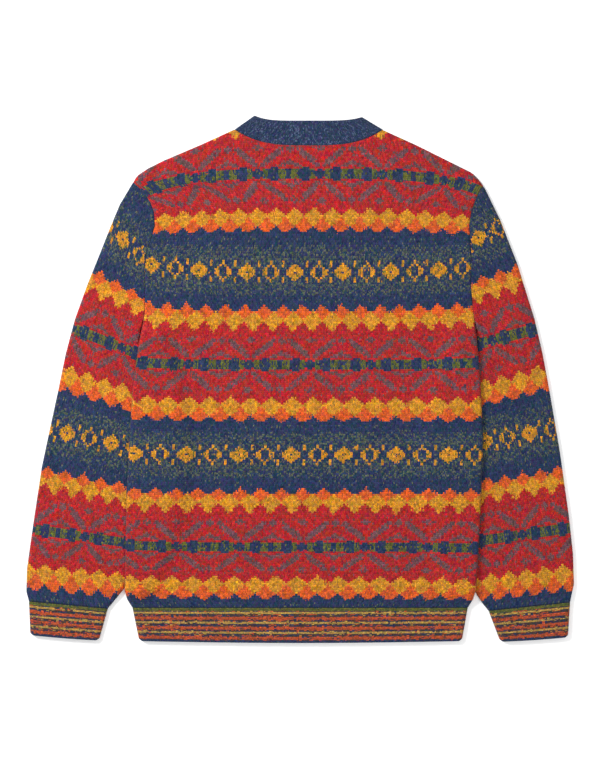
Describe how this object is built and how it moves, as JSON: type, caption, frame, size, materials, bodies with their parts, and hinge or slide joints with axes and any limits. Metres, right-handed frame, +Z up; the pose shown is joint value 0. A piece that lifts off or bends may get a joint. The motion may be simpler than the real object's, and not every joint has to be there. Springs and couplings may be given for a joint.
{
  "type": "fair isle jumper",
  "caption": "Crew-neck knitted pullover with long sleeves and striped welt and cuffs, laid flat on its front with its back up.",
  "frame": {"origin": "on the surface that the jumper lies on, under the middle of its outline", "axes": "+Z up from the surface, +Y towards the neck, +X to the right when looking down at the back"},
  "size_m": [0.7131, 0.6878, 0.0114],
  "materials": {
    "pattern_wool": "matt heathered wool knit with fair isle bands",
    "navy_wool": "matt heathered navy wool knit",
    "striped_wool": "matt wool knit with fine raised stripes"
  },
  "bodies": {
    "root": {"back": "pattern_wool", "front": "pattern_wool", "sleeve_left": "pattern_wool", "sleeve_right": "pattern_wool", "neckband": "navy_wool", "welt": "striped_wool", "cuff_left": "striped_wool", "cuff_right": "striped_wool"}
  },
  "joints": []
}
